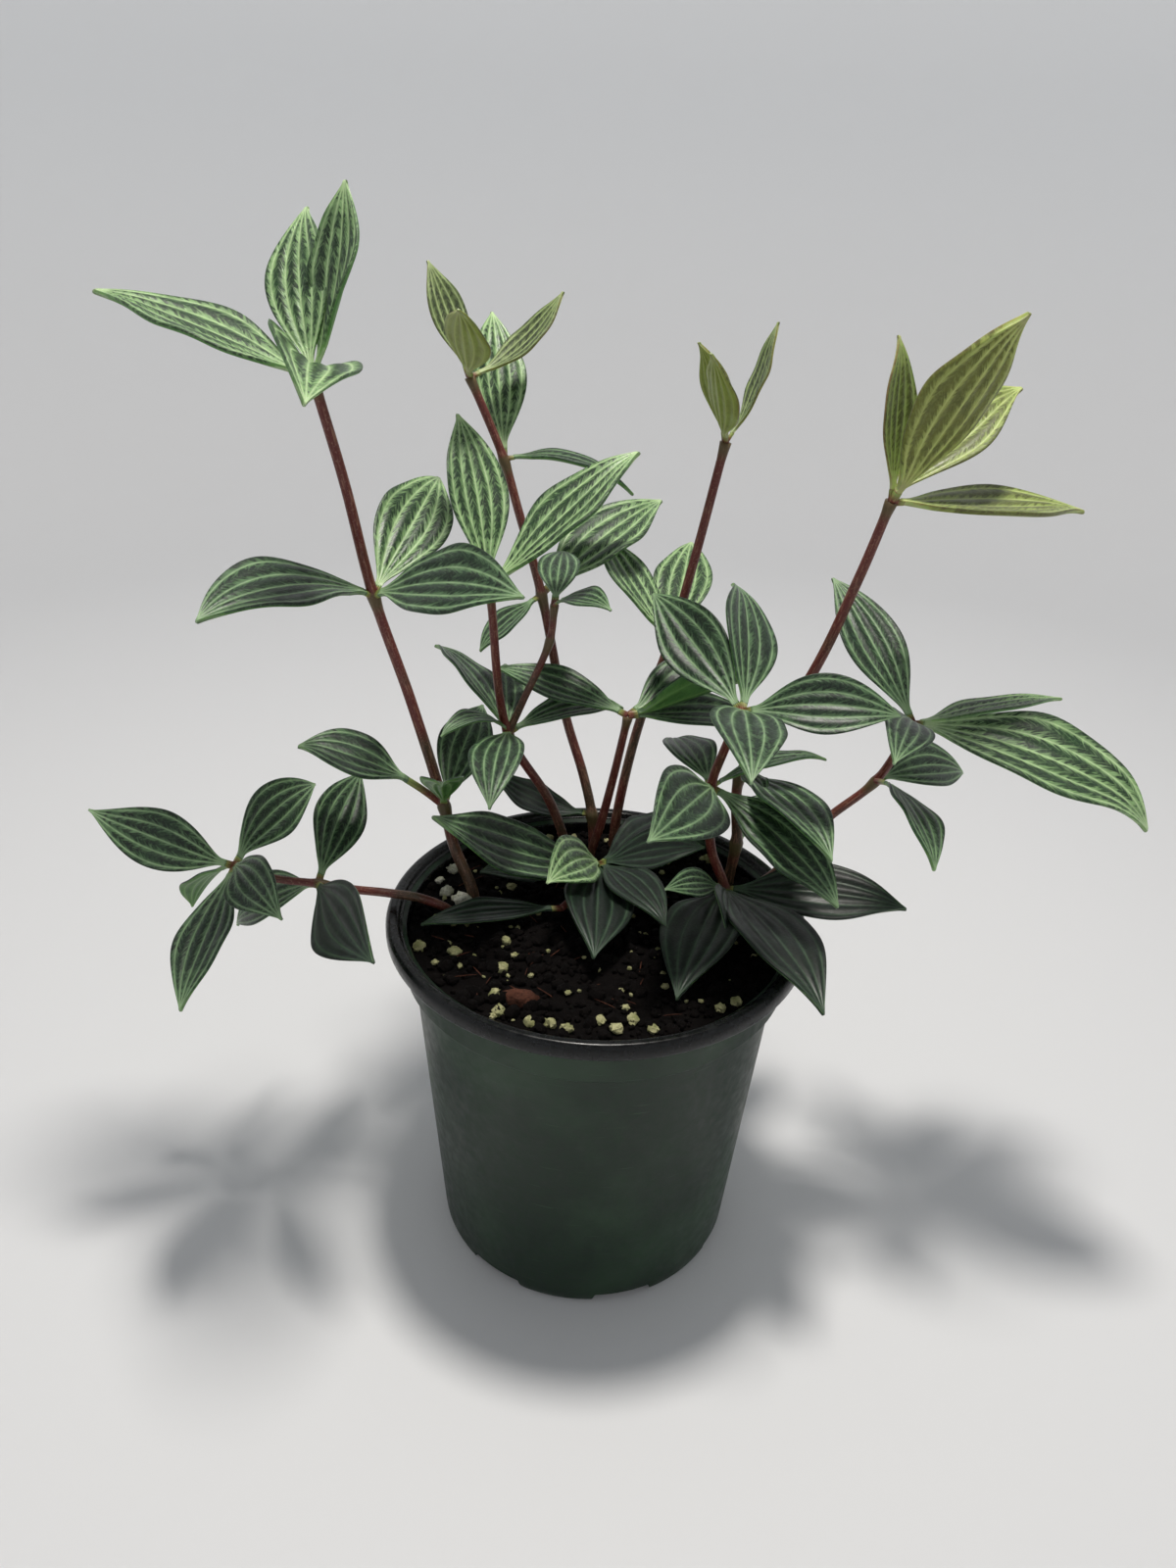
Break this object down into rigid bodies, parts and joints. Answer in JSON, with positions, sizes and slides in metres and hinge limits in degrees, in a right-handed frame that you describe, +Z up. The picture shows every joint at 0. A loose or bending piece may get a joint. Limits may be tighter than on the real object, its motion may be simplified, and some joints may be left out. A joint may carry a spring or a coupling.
{
  "type": "potted house plant",
  "caption": "Bushy striped peperomia with upright leafy shoots of thick pointed leaves, growing out of dark soil in a round tapered nursery pot.",
  "frame": {"origin": "middle of the pot's foot, on the surface the pot stands on", "axes": "+Z up along the pot's axis, -Y towards the viewer of the picture, +X to the viewer's right"},
  "size_m": [0.2671, 0.1453, 0.2823],
  "materials": {
    "pot_plastic": "matt green, with a near-black rim",
    "soil": "dark crumbly peat with pale grains",
    "mature_leaves": "satin dark green with pale green stripes, on dark red-brown stems",
    "young_leaves": "satin olive green with yellow-green stripes, on dark red-brown stems"
  },
  "bodies": {
    "root": {"nursery_pot": "pot_plastic", "potting_soil": "soil", "tall_left_shoot": "mature_leaves", "low_left_shoot": "mature_leaves", "forked_shoot": "mature_leaves", "tall_back_shoot": "young_leaves", "middle_shoot": "mature_leaves", "tall_middle_shoot": "young_leaves", "tall_right_shoot": "young_leaves", "front_right_shoot": "mature_leaves", "far_right_shoot": "mature_leaves", "low_middle_shoot": "mature_leaves"}
  },
  "joints": []
}
